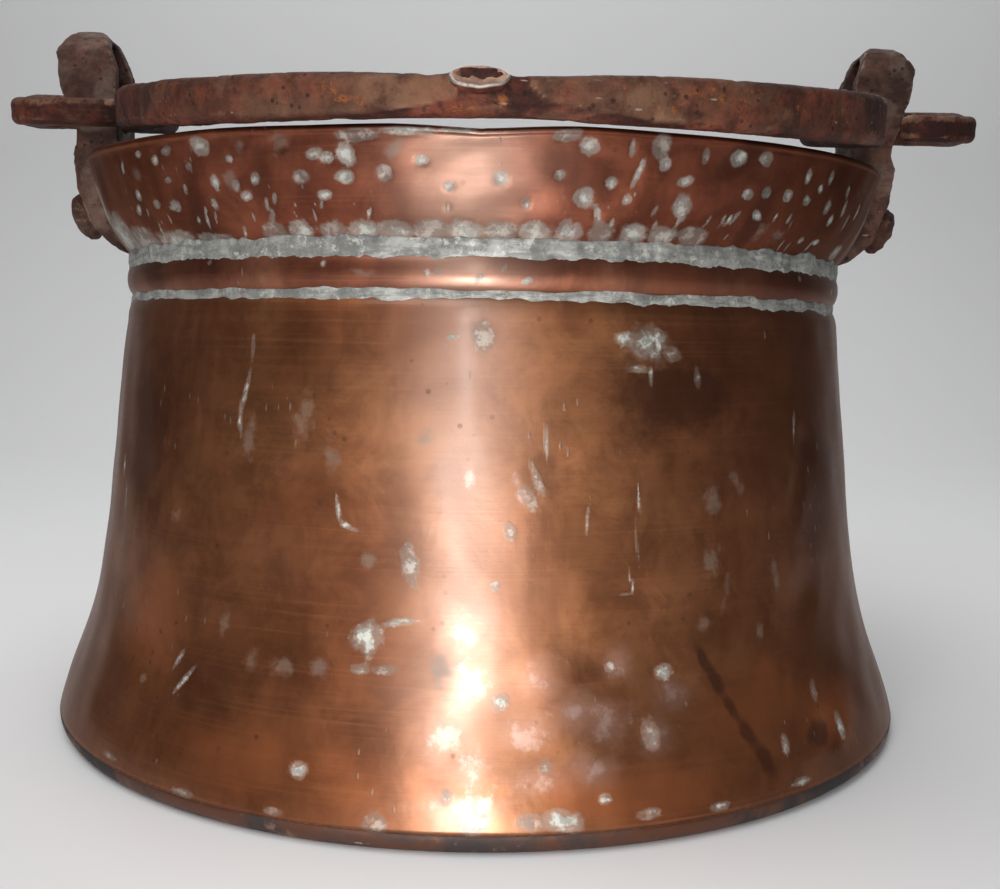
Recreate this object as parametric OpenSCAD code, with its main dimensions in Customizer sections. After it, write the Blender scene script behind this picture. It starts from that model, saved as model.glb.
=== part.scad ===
// Copper hanging kettle: an open belled pot with a grooved neck, a flared collar,
// two riveted iron ears and a heavy forged bail whose hooked ends turn in the ears.
// Millimetres. The origin is the centre of the underside, +Z is up, +Y is the back.
// The bail is laid forward, just clear of the front of the rim.

/* [Pot] */
// Outer radius of the bell at the foot, before the taper
foot_r = 145.5; // [130:0.5:160]
// Radius that the bell flare adds at the foot
bell_flare = 9.9; // [4:0.1:14]
// Height over which the bell flare dies out
bell_h = 30.5; // [20:0.5:45]
// Loss of radius for each millimetre of height
bell_taper = 0.105; // [0.05:0.005:0.15]
// Thickness of the copper sheet, measured across the axis
sheet = 1.8; // [1.2:0.1:3]
// Height of the seam where the wall stands on the base pan
foot_seam_z = 6; // [5:0.5:9]

/* [Neck] */
// Height at which the wall starts to turn in under the neck
shoulder_z = 131; // [125:1:135]
// Height of the lower groove
lower_groove_z = 138.3; // [136:0.1:141]
// Height of the upper groove
upper_groove_z = 149.8; // [147:0.1:153]
// Outer radius at the bottom of both grooves
groove_r = 118.4; // [114:0.1:120]
// How far the bead stands out between the grooves
bead_out = 3.5; // [2:0.1:5]

/* [Collar] */
// Height of the top of the rim
rim_z = 178.5; // [170:0.5:182]
// Radius that the straight part of the flare adds
collar_flare = 8; // [5:0.5:12]
// Radius that the bowl at the foot of the collar adds
collar_bowl = 7; // [4:0.5:10]
// Radius of the rounded lip
lip_r = 1.4; // [1:0.1:2]

/* [Ears] */
// Distance from the pot's axis to the middle of each ear's loop
ear_x = 137.5; // [136:0.5:140]
// Width of the ear strap, across the opening's direction
ear_w = 21; // [18:1:22]
// Height of the top of the ear
ear_top_z = 231; // [228:0.5:232]
// Half of the distance over both legs of the loop
ear_half = 11.5; // [10.5:0.5:12]
// Half of the loop's opening
loop_half = 7; // [6.8:0.1:7.5]
// Half of the widest part of the riveting plate
plate_half = 13; // [11:0.5:15]

/* [Rivets] */
// Radius of the rivet's shank
rivet_r = 3.5; // [2.5:0.5:4]
// Radius of the rivet's head
rivet_head_r = 8.5; // [7:0.5:10]
// Radius of the rove, the washer under the clenched end
rove_r = 7.5; // [6:0.5:9]

/* [Bail] */
// Height of the axis that the bail turns about
pivot_z = 203.5; // [203:0.1:204]
// Radius of the round pins that turn in the ears
pin_r = 6; // [5:0.1:6]
// Radius of the hooks' return legs
hook_r = 4.6; // [4.3:0.1:5.5]
// Distance from the pin to the return leg
hook_gap = 34; // [34:0.5:38]
// Middle of the left hook's outer leg, from the axis of the pot
left_hook_x = 153.5; // [153.5:0.5:160]
// Middle of the right hook's outer leg, from the axis of the pot
right_hook_x = 161; // [158:0.5:170]
// Where the right return leg ends, from the axis of the pot
right_tip_x = 140; // [138:1:150]
// Angle that the bail lies below level
lay_deg = 7.9; // [6:0.1:7.9]
// Angle that the hooks hang below the plane of the arch
hook_drop = 2.3; // [0:0.1:4]

/* [Hidden] */
$fn = 96;

copper = "#8a4a2b";
tin = "#9c9a90";
iron = "#4a342e";

straight_r = foot_r - bell_flare;      // radius of the plain taper at the foot
bead_z = (lower_groove_z + upper_groove_z) / 2;
bead_half_h = (upper_groove_z - lower_groove_z) / 2;
collar_h = rim_z - lip_r - upper_groove_z;
rim_mid_r = groove_r + collar_flare + collar_bowl - sheet / 2;
lip_out = rim_mid_r + lip_r;
seam_lap = 1.4;                        // how far the foot seam reaches up and down
seam_depth = 1.1;                      // how deep it sits in the sheet
foot_round = 4.3;                      // width of the rounded corner under the pot
seam_a = 50;                           // angle on the bead where the tin ends
upper_seam_steps = 3;                  // steps of the collar's curve that the upper tin covers
collar_steps = 20;                     // steps in the collar's curve
lower_seam_r = groove_r + 2.4;         // where the lower tin meets the bead's foot
upper_seam_r = groove_r + 3.4;         // where the upper tin meets the collar's foot
upper_seam_z = upper_groove_z + 0.8;
plate_in_x = 110;                      // inner end of the ears' plates, cut off by the collar
ear_drawn_w = 60;                      // width over which the ear's front outline is drawn
head_h = 7;                            // height of the rivet's head
neck_h = 2.8;                          // height of the undercut below the head's edge
neck_in = 1.8;                         // how far the undercut goes in
dome_h = 1.6;                          // height of the head's worn top
head_taper = 0.8;                      // loss of radius up the head's side
dome_taper = 3.6;                      // loss of radius from the head's edge to its top
clench_flare = 1.6;                    // spread of the clenched end
hole_in = 20;                          // how far the rivet's hole is drawn into the pot
rove_z = 9.9;                          // depth of the rove behind the ear's flat
rove_h = 2;                            // thickness of the rove
clench_h = 2;                          // height of the clenched end
bend_r = 8;                            // bend radius beside the pins, at the middle of the bar
left_turn_r = 13;                      // bend radius of the left hook's front corner
right_turn_r = 16;                     // bend radius of the right hook's front corner
left_tip_x = 121.5;                    // where the left return leg ends, against the arm
pin_in_x = 118;                        // where the pins start, inside the arms
pad_x = -2;                            // middle of the crown's pad, from the middle of the bar
pad_reach = 143;                       // distance of the pad from the pins
pad_lift = 3.1;                        // height of the pad above the middle of the bar
pad_tilt = 50;                         // angle at which the pad faces up and forwards
pad_half = 3;                          // half of the pad's straight part
pad_r = 4;                             // radius of the pad's ends
pad_h = 2.6;                           // thickness of the pad

// The ear seen from the side of the pot's wall: distance from the axis, height.
// It is a chamfered head, a waisted stem and a plate that thins towards its tip.
ear_in = ear_x - ear_w / 2;
ear_out = ear_x + ear_w / 2;
rivet_flat = [[140.6, 175], [135.8, 161.8]];   // the flat that the rivet's head sits on
ear_side = concat(
    [[ear_in, 217], [ear_in + 4, 228], [ear_x - 2, ear_top_z + 1], [ear_x + 5, ear_top_z],
    [ear_out, 222], [ear_out - 1.5, 210], [ear_out - 6, 197], [ear_out - 6.4, 192], [ear_out - 5, 188],
    [141.6, 182]],
    rivet_flat,
    [[129.6, 155.8], [124, 153.2], [plate_in_x, 153.2], [plate_in_x, rim_z - lip_r],
    [lip_out, rim_z - lip_r], [lip_out + 0.1, 179.4], [ear_in + 3, 180.6], [ear_in + 0.3, 183]]);
// Half of the ear's outline seen from outside, from the tip of the plate upwards.
ear_front = [
    [2, 153], [7, 157], [plate_half - 1, 164], [plate_half, 173], [plate_half - 0.5, 181],
    [ear_half - 1, 188], [ear_half - 1.3, 194], [ear_half, 202], [ear_half, ear_top_z - ear_half]];

// The bail's arch as laid out flat: across, reach from the pin, lift, height, width.
arch = [
    [-119, 0, 0, 12, 12], [-113.5, 5, -0.3, 13, 12], [-112.5, 17, -0.8, 13.4, 12], [-112, 34, -1, 13.2, 12],
    [-105.5, 62, -1.3, 12.7, 12], [-93, 88, -1.4, 12.1, 12], [-72, 112, -1.5, 12, 12],
    [-42, 130.5, -0.9, 11.4, 12], [-8, 138, -0.6, 10.4, 12], [8, 138, -0.6, 10.4, 12],
    [46, 130.5, -0.7, 12.2, 12], [79, 112, -1.2, 13.2, 12], [103, 88, -1.3, 14, 12],
    [114.5, 62, -0.9, 14.8, 12.5], [116.5, 34, -0.3, 15.2, 12.5], [115.5, 17, 0, 15, 12.5],
    [116, 5, 0, 13.5, 12], [121, 0, 0, 12, 12]];
arch_steps = 4;                        // rings between one point of the arch and the next
corner = 0.3;                          // share of each side that the bar's chamfers take

// Outer radius of the bell at a height
function bell_r(z) = straight_r - bell_taper * z + bell_flare * exp(-pow(z / bell_h, 2));
// Outer radius of the collar, where t runs from 0 at the groove to 1 at the lip
function collar_r(t) = groove_r + collar_flare * t + collar_bowl * (1 - pow(1 - t, 3));
// A profile moved inwards by the sheet's thickness and reversed, to close the section
function inside(outline) = [for (i = [len(outline) - 1 : -1 : 0]) outline[i] - [sheet, 0]];

shoulder_w = bell_r(shoulder_z) - groove_r;
shoulder_h = lower_groove_z - shoulder_z;
function shoulder_at(a) = [groove_r + shoulder_w * cos(a), shoulder_z + shoulder_h * sin(a)];
function bead_at(a) = [groove_r + bead_out * cos(a), bead_z + bead_half_h * sin(a)];
function collar_at(t) = [collar_r(t), upper_groove_z + collar_h * t];
function foot_at(a, inset) = [bell_r(foot_seam_z - seam_lap) - foot_round + (foot_round - inset) * sin(a),
    foot_seam_z - seam_lap - (foot_seam_z - seam_lap - inset) * cos(a)];

bell_line = concat(
    [[bell_r(foot_seam_z + seam_lap), foot_seam_z + seam_lap]],
    [for (z = [10 : 4 : shoulder_z - 1]) [bell_r(z), z]],
    [for (a = [0 : 10 : 90]) shoulder_at(a)]);
bead_line = [for (a = [-90 : 10 : 90]) bead_at(a)];
collar_line = [for (i = [0 : collar_steps]) collar_at(i / collar_steps)];

seam_inner = [bell_r(foot_seam_z) - seam_depth, foot_seam_z];

module base_pan() {
    outer = [for (a = [0 : 10 : 90]) foot_at(a, 0)];
    inner = [for (a = [90 : -10 : 0]) foot_at(a, sheet)];
    color(copper)
        rotate_extrude()
            polygon(concat([[0, 0]], outer, [seam_inner],
                [[bell_r(foot_seam_z) - sheet, foot_seam_z]], inner, [[0, sheet]]));
}

module base_seam() {
    top_z = foot_seam_z + seam_lap;
    low_z = foot_seam_z - seam_lap;
    color(tin)
        rotate_extrude()
            polygon([[bell_r(low_z), low_z], [bell_r(foot_seam_z) + 0.2, foot_seam_z],
                [bell_r(top_z), top_z], seam_inner]);
}

module body_wall() {
    color(copper)
        rotate_extrude()
            polygon(concat([seam_inner], bell_line, inside(bell_line),
                [[bell_r(foot_seam_z) - sheet, foot_seam_z]]));
}

module lower_seam() {
    color(tin)
        rotate_extrude()
            polygon(concat([for (a = [seam_a : 10 : 90]) shoulder_at(a)],
                [for (a = [-80 : 10 : -seam_a]) bead_at(a)], [[lower_seam_r, lower_groove_z]]));
}

module neck_ring() {
    color(copper)
        rotate_extrude()
            polygon(concat(bead_line, inside(bead_line)));
}

module upper_seam() {
    color(tin)
        rotate_extrude()
            polygon(concat([for (a = [seam_a : 10 : 90]) bead_at(a)],
                [for (i = [1 : upper_seam_steps]) collar_at(i / collar_steps)],
                [[upper_seam_r, upper_seam_z]]));
}

module lip() {
    translate([rim_mid_r, rim_z - lip_r])
        circle(r = lip_r, $fn = 24);
}

module collar_section() {
    union() {
        polygon(concat(collar_line, inside(collar_line)));
        lip();
    }
}

// Everything inside the outside of the collar, which the ears are fitted to
module collar_space() {
    rotate_extrude()
        union() {
            polygon(concat([[0, bead_z], [upper_seam_r, bead_z], [upper_seam_r, upper_seam_z]],
                [for (i = [upper_seam_steps : collar_steps]) collar_at(i / collar_steps)],
                [[0, rim_z - lip_r]]));
            lip();
        }
}

// Places its children on the rivet's axis, with +Z pointing out of the pot
// and its zero on the flat of the ear
module on_rivet(side) {
    seat = (rivet_flat[0] + rivet_flat[1]) / 2;
    run = rivet_flat[0] - rivet_flat[1];
    mirror([side < 0 ? 1 : 0, 0, 0])
        translate([seat[0], 0, seat[1]])
            rotate([0, 90 + atan2(run[0], run[1]), 0])
                children();
}

module rivet_hole(side) {
    on_rivet(side)
        translate([0, 0, -hole_in])
            cylinder(r = rivet_r, h = hole_in + head_h, $fn = 32);
}

module collar() {
    color(copper)
        difference() {
            rotate_extrude()
                collar_section();
            rivet_hole(1);
            rivet_hole(-1);
        }
}

module ear(side) {
    mirrored = [for (i = [len(ear_front) - 1 : -1 : 0]) [-ear_front[i][0], ear_front[i][1]]];
    color(iron)
        difference() {
            mirror([side < 0 ? 1 : 0, 0, 0])
                intersection() {
                    translate([0, 20, 0])
                        rotate([90, 0, 0])
                            linear_extrude(40)
                                polygon(ear_side);
                    translate([plate_in_x, 0, 0])
                        rotate([90, 0, 90])
                            linear_extrude(ear_drawn_w)
                                difference() {
                                    union() {
                                        polygon(concat(ear_front, mirrored));
                                        translate([0, ear_top_z - ear_half])
                                            circle(r = ear_half);
                                    }
                                    loop_slot();
                                }
                }
            collar_space();
            rivet_hole(side);
        }
}

// The opening of the ear, round at the bottom about the bail's axis
module loop_slot() {
    slot_top = ear_top_z - ear_half;
    translate([0, pivot_z])
        circle(r = loop_half);
    translate([-loop_half, pivot_z])
        square([2 * loop_half, slot_top - pivot_z]);
    translate([0, slot_top])
        circle(r = loop_half);
}

module left_ear() {
    ear(-1);
}

module right_ear() {
    ear(1);
}

// A forged rivet: a domed head outside, the shank, and the end clenched over the rove
module rivet(side) {
    dome_z = head_h - dome_h;
    dome_r = rivet_head_r - head_taper;
    color(iron)
        on_rivet(side)
            union() {
                cylinder(r1 = rivet_head_r - neck_in, r2 = rivet_head_r, h = neck_h, $fn = 24);
                translate([0, 0, neck_h])
                    cylinder(r1 = rivet_head_r, r2 = dome_r, h = dome_z - neck_h, $fn = 24);
                translate([0, 0, dome_z])
                    cylinder(r1 = dome_r, r2 = rivet_head_r - dome_taper, h = dome_h, $fn = 24);
                translate([0, 0, -rove_z - rove_h])
                    cylinder(r = rivet_r, h = rove_z + rove_h, $fn = 32);
                translate([0, 0, -rove_z - rove_h - clench_h])
                    cylinder(r1 = rivet_r, r2 = rivet_r + clench_flare, h = clench_h, $fn = 32);
            }
}

module left_rivet() {
    rivet(-1);
}

module right_rivet() {
    rivet(1);
}

module rove(side) {
    color(iron)
        on_rivet(side)
            translate([0, 0, -rove_z - rove_h])
                difference() {
                    cylinder(r = rove_r, h = rove_h, $fn = 32);
                    translate([0, 0, -1])
                        cylinder(r = rivet_r, h = rove_h + 2, $fn = 32);
                }
}

module left_rove() {
    rove(-1);
}

module right_rove() {
    rove(1);
}

// A point on a smooth curve through the arch's points
function blend(a, b, c, d, t) = 0.5 * (2 * b + (c - a) * t + (2 * a - 5 * b + 4 * c - d) * t * t
    + (3 * b - a - 3 * c + d) * t * t * t);
function arch_point(i) = arch[min(max(i, 0), len(arch) - 1)];
arch_curve = concat(
    [for (i = [0 : len(arch) - 2], s = [0 : arch_steps - 1])
        blend(arch_point(i - 1), arch_point(i), arch_point(i + 1), arch_point(i + 2), s / arch_steps)],
    [arch[len(arch) - 1]]);

// The chamfered bar's section, as shares of its half width and half height
bar_section = [[1, 1 - corner], [1 - corner, 1], [corner - 1, 1], [-1, 1 - corner],
    [-1, corner - 1], [corner - 1, -1], [1 - corner, -1], [1, corner - 1]];

function flat(p) = [p[0], -p[1]];
function arch_side(i) =
    let (a = flat(arch_curve[max(i - 1, 0)]), b = flat(arch_curve[min(i + 1, len(arch_curve) - 1)]))
    let (d = (b - a) / norm(b - a))
    [-d[1], d[0]];

module arch_bar() {
    rings = len(arch_curve);
    sides = len(bar_section);
    points = [for (i = [0 : rings - 1], s = bar_section)
        let (p = arch_curve[i], n = arch_side(i))
        [p[0] + n[0] * s[0] * p[4] / 2, -p[1] + n[1] * s[0] * p[4] / 2, p[2] + s[1] * p[3] / 2]];
    skin = [for (i = [0 : rings - 2], j = [0 : sides - 1])
        [i * sides + j, (i + 1) * sides + j, (i + 1) * sides + (j + 1) % sides, i * sides + (j + 1) % sides]];
    first = [for (j = [0 : sides - 1]) j];
    last = [for (j = [sides - 1 : -1 : 0]) (rings - 1) * sides + j];
    polyhedron(points, concat(skin, [first], [last]), convexity = 6);
}

// A round bar along X from one distance to the other
module bar_x(from, to, reach, r) {
    translate([min(from, to), -reach, 0])
        rotate([0, 90, 0])
            cylinder(r = r, h = abs(to - from), $fn = 48);
}

// One hook on the +X side: pin, bend, outer leg, bend and return leg
module hook(outer_x, tip_x, turn_r) {
    bend_x = outer_x - bend_r;
    turn_x = outer_x - turn_r;
    bar_x(pin_in_x, bend_x, 0, pin_r);
    bar_x(tip_x, turn_x, hook_gap, hook_r);
    translate([tip_x, -hook_gap, 0])
        sphere(r = hook_r, $fn = 48);
    translate([bend_x, -bend_r, 0])
        rotate_extrude(angle = 90, $fn = 48)
            translate([bend_r, 0])
                circle(r = pin_r, $fn = 48);
    translate([outer_x, -bend_r, 0])
        rotate([90, 0, 0])
            cylinder(r1 = pin_r, r2 = hook_r, h = hook_gap - bend_r - turn_r, $fn = 48);
    translate([turn_x, turn_r - hook_gap, 0])
        rotate([0, 0, -90])
            rotate_extrude(angle = 90, $fn = 48)
                translate([turn_r, 0])
                    circle(r = hook_r, $fn = 48);
}

// The worn oval pad at the crown, on the upper front edge of the bar
module crown_pad() {
    translate([pad_x, -pad_reach, pad_lift])
        rotate([pad_tilt, 0, 0])
            hull() {
                translate([-pad_half, 0, 0])
                    cylinder(r = pad_r, h = pad_h, center = true, $fn = 24);
                translate([pad_half, 0, 0])
                    cylinder(r = pad_r, h = pad_h, center = true, $fn = 24);
            }
}

module bail() {
    color(iron)
        translate([0, 0, pivot_z])
            rotate([lay_deg, 0, 0])
                union() {
                    arch_bar();
                    rotate([hook_drop, 0, 0])
                        hook(right_hook_x, right_tip_x, right_turn_r);
                    rotate([hook_drop, 0, 0])
                        mirror([1, 0, 0])
                            hook(left_hook_x, left_tip_x, left_turn_r);
                    crown_pad();
                }
}

base_pan();
base_seam();
body_wall();
lower_seam();
neck_ring();
upper_seam();
collar();
left_ear();
right_ear();
left_rivet();
right_rivet();
left_rove();
right_rove();
bail();
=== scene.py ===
"""Copper hanging kettle: tarnished copper pot with tin bands, riveted iron ears and a forged bail.

The pot's sheet pieces are turned from the profiles of the CAD model and then dented.
The iron pieces are remeshed from their CAD nodes, softened, hammered and pitted.
Marks that have a place of their own are written into mesh attributes, which the materials read; so are
painted shade on the pot's sides and the iron's undersides, and a painted highlight down the pot's front.
Millimetres are used for lengths here and turned to metres when a mesh is made.
"""

import math

import bmesh
import bpy
import numpy as np
from mathutils import Matrix, Vector


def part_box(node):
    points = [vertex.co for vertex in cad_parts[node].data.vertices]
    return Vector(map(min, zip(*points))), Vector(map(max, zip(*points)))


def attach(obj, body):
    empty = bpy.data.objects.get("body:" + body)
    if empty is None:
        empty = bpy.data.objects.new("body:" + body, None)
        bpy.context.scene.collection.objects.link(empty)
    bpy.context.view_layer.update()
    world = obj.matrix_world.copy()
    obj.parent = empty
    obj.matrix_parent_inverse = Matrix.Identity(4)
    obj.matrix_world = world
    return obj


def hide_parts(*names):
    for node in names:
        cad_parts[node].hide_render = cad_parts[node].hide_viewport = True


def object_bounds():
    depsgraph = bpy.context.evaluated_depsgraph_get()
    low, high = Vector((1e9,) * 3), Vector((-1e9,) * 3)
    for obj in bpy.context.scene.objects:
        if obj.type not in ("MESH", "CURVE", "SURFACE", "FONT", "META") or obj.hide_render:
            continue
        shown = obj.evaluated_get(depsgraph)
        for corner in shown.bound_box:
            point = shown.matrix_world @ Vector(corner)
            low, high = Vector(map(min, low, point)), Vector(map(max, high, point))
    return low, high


MM = 0.001
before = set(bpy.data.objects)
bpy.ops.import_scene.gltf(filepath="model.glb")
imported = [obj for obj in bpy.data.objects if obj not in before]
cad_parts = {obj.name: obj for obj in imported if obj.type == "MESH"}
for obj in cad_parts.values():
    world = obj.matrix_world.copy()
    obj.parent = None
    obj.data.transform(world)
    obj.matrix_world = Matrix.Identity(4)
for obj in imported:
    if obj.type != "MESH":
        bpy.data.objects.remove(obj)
cad_low, cad_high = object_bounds()
CAD_BOX = (np.array(cad_low) / MM, np.array(cad_high) / MM)

# ---------------------------------------------------------------- the pot's profile

FLARE, FLARE_H, TAPER = 9.9, 30.5, 0.105
SHEET = 1.8
SHOULDER_Z, LOW_GROOVE, HIGH_GROOVE, GROOVE_R, BEAD_OUT = 131.0, 138.3, 149.8, 118.4, 3.5
LIP_R = 1.15
PAN_RISE = 1.4          # the pan ends this far below the seam
RIM_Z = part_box("collar")[1].z / MM
COLLAR_H = RIM_Z - LIP_R - HIGH_GROOVE
PIVOT_Z = 203.5
LAY = math.radians(7.9)
SEAM_Z = 6.0
SEGMENTS = 840          # round a copper piece
MM_PER_DEGREE = 2.3     # along the pot's surface
NO_MARK = -1.5          # the mark field well away from every mark
NO_PAD = -1.0

PAD_X, PAD_REACH, PAD_LIFT = -2, 143, 3.1       # the worn oval at the bail's crown, laid level
PAD_GROUND_TILT, PAD_FACE_TILT = math.radians(50), math.radians(41)
SLOT_HALF, SLOT_LOW, SLOT_HIGH = 8.2, 195, 228  # the slot in each ear, which isn't hammered


def bell_r(z):
    return 135.6 - TAPER * z + FLARE * np.exp(-((z / FLARE_H) ** 2))


def shoulder(angle):
    a = np.radians(angle)
    return (GROOVE_R + (bell_r(SHOULDER_Z) - GROOVE_R) * np.cos(a),
            SHOULDER_Z + (LOW_GROOVE - SHOULDER_Z) * np.sin(a))


def bead(angle):
    a = np.radians(angle)
    half = (HIGH_GROOVE - LOW_GROOVE) / 2
    return GROOVE_R + BEAD_OUT * np.cos(a), LOW_GROOVE + half + half * np.sin(a)


def bowl(t):
    return GROOVE_R + 8 * t + 7 * (1 - (1 - t) ** 3), HIGH_GROOVE + COLLAR_H * t


def line(function, start, end, count):
    """Points of a profile function as rows of radius and height."""
    return np.stack(function(np.linspace(start, end, count)), -1)


# ---------------------------------------------------------------- random fields and marks


def waves(points, size, seed, count=20):
    """A smooth random field of about unit height, whose bumps are about size apart."""
    rng = np.random.default_rng(seed)
    way = rng.normal(size=(count, points.shape[1]))
    way /= np.linalg.norm(way, axis=1, keepdims=True)
    way *= 2 * np.pi / size * rng.uniform(0.6, 1.4, (count, 1))
    return np.sin(points @ way.T + rng.uniform(0, 2 * np.pi, count)).sum(1) * math.sqrt(2 / count)


def smooth(low, high, x):
    t = np.clip((x - low) / (high - low), 0, 1)
    return t * t * (3 - 2 * t)


def marks_at(turn, z, marks, ages=None):
    """1 in the middle of a mark, 0 on its edge, below 0 outside. A mark is the angle round the pot
    from the front, height, half width, half height and tilt, in degrees and millimetres.
    ages, if given, takes a number from 0 to 1 for each mark, over the mark's own ground."""
    best = np.full(turn.shape, NO_MARK)
    for index, (angle, height, wide, tall, tilt) in enumerate(marks):
        across = ((turn - angle + 180) % 360 - 180) * MM_PER_DEGREE
        up = z - height
        near = np.where((abs(across) < 40) & (abs(up) < 40))[0]
        a = math.radians(tilt)
        p = (across[near] * math.cos(a) + up[near] * math.sin(a)) / wide
        q = (up[near] * math.cos(a) - across[near] * math.sin(a)) / tall
        value = 1 - np.hypot(p, q)
        if ages is not None:
            ages[near[value > best[near]]] = index * 0.618 % 1
        best[near] = np.maximum(best[near], value)
    return best


def scatter(seed, count, turns, heights, wide, tall, tilt=(-90, 90)):
    """Random marks over a stretch of the pot."""
    rng = np.random.default_rng(seed)
    return [(rng.uniform(*turns), rng.uniform(*heights), rng.uniform(*wide), rng.uniform(*tall),
             rng.uniform(*tilt)) for _ in range(count)]


# Marks after the photograph. Scratch scripts turned places read off the photograph into angles and
# heights here: at least 58 rows of COLLAR_DENTS, 50 of them with their sizes, 25 of WALL_TIN, 9 of
# WALL_HAZE and one of COLLAR_RINGS. Other rows may be nudged from the same numbers.

# Pale grey-white spots, scratches and crusts on the wall
WALL_TIN = [
    (-0.1, 127.4, 3.6, 4.2, 0), (-3.6, 127, 2.4, 1, 0), (-7.9, 69, 2.6, 6, 12), (-12.6, 50.5, 5.5, 3.6, 20),
    (-12.2, 50, 2.2, 6, 0), (-10.3, 42.8, 4.4, 1.5, 5), (-8.9, 54.8, 5.5, 1.1, 8), (-13.2, 42.3, 3, 1.4, 0),
    (-18.7, 17.5, 2.8, 2.6, 0), (-31.1, 110.8, 1.1, 7.5, -14), (-30.2, 123.4, 0.9, 4.4, 0),
    (-31.6, 104, 0.9, 5, 8), (20.9, 117.8, 0.9, 3.6, 0), (27.7, 117.8, 1.4, 3, 0), (19.2, 119.4, 5.4, 1, 0),
    (18.8, 26.9, 2.6, 4.6, 10), (21.3, 41.4, 3.4, 2.3, 0), (2.4, 35.8, 2.7, 2.6, 0), (7.1, 20.7, 1.9, 2.4, 0),
    (1.7, 64.5, 1.5, 1.5, 0), (14.8, 43.5, 1.7, 1.4, 0), (-36.3, 32.9, 1, 6, -38), (-38, 37.5, 0.9, 4, -30),
    (44.2, 28.8, 1.6, 3.4, -8), (47.7, 17.5, 1.9, 4.6, 4), (36.6, 18, 1.7, 3.4, 0), (5.6, 86.5, 2.4, 4.4, 30),
    (6.6, 91, 1.2, 6.5, 24), (3.4, 78, 1.7, 2.6, 20), (7.6, 101, 0.8, 6, 4), (46, 103, 0.9, 5.5, -6),
    (-58, 76, 0.9, 8, 8), (-60, 86, 0.9, 5, 8), (12.5, 81, 0.7, 6, -6), (-44, 30, 1.8, 1.2, 20),
    (20.9, 126.5, 7, 4.4, 10), (24, 123.6, 3.6, 2.2, -20), (17.6, 127.5, 4.2, 2.2, 0),
    (-32.4, 6.4, 4, 1.4, 0), (-9.9, 7.2, 3.4, 3.4, 0), (-0.1, 8.2, 4.4, 3, 15), (5.1, 8.6, 4, 2.6, 0),
    (8.6, 8.4, 5.2, 3.2, -10), (17.7, 8.6, 4, 1.6, 10), (-21, 7.2, 3, 1.2, 0), (26, 7.6, 3.4, 1.2, 0),
    (38, 8, 4.4, 1.2, 0), (-46, 8, 4.4, 1.1, 0), (13, 13, 2, 1.6, 0), (-3, 14, 1.6, 2.2, 0),
    (-16.8, 82.5, 0.9, 4.2, 12), (-15.9, 78.6, 2.4, 1, -32), (-14.6, 77.6, 1.8, 0.9, 6),
    (19, 85, 0.6, 7, 4), (18.6, 74, 0.6, 7, 3), (17.8, 64.6, 0.6, 4.2, 12), (16.6, 61.8, 2.4, 0.6, -6),
]
# Dull blue-grey bloom on the wall
WALL_HAZE = [
    (-22.6, 41.2, 4.4, 3.8, 0), (-26.8, 41.5, 2.8, 3.4, 0), (-17.9, 41.8, 3.4, 3, 0),
    (-21.9, 106.3, 4, 8, -10), (-29.8, 98.9, 3, 8, 0), (-31.4, 49.1, 2.4, 5, 0), (29.4, 84.8, 4, 6.5, 20),
    (29.1, 68.8, 3.6, 6, 0), (31, 60, 1.6, 7, -16), (33.3, 89.7, 2, 5, 40), (-18, 96, 3, 5, 0),
    (20.5, 126, 10, 6.5, 0), (-42, 76, 4, 3, 0), (27, 52, 3, 3, 0), (36, 48, 2.6, 3, 0),
    (-7, 101, 4.6, 3, 40), (-4, 44, 4, 6, 0), (40, 62, 2.2, 6, 10), (-13, 70, 3, 3, 0),
]
# Rubbed, bare copper in the lower half of the front
WALL_BARE = [
    (-2.4, 52, 8, 8.5, 0), (0, 42, 7.5, 12, -10), (-3.2, 29, 6.5, 10, 0), (-0.5, 20, 7, 6, 0),
    (7, 41, 7, 7, 20), (10.5, 33, 8, 6, 0), (14, 30, 9, 7, 0), (16, 45, 5, 7, 0), (5.5, 29, 8, 7, 0),
    (6, 18, 11, 6, 0), (19, 26, 6, 6, 0), (12, 20, 9, 5, 0), (4.6, 88, 2.4, 7, 20), (22, 36, 6, 5, 0),
    (-1, 12, 14, 4, 0), (-1.4, 92, 2.2, 5, 0),
]
# Brighter orange copper, low on the right and left
WALL_ORANGE = [(17, 13, 30, 9, 0), (36, 33, 11, 13, -20), (33, 27, 34, 17, 12),
               (45, 22, 26, 14, 0), (-24, 18, 40, 13, 0), (-45, 45, 20, 26, 0)]
# A dark run low on the right, broad painted shade at the sides, and broad dark ground near the top
WALL_DARK = [(26.6, 43, 2, 6, 26), (28, 37, 2.4, 6.5, 28), (29.6, 30, 2.2, 6.5, 30), (31.4, 23, 2.6, 6.5, 28),
             (33, 16, 3, 6, 26), (43, 18, 6, 4, 0),
             (-52, 96, 16, 26, 0), (52, 84, 18, 30, 0), (24, 112, 26, 12, 0)]

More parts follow.
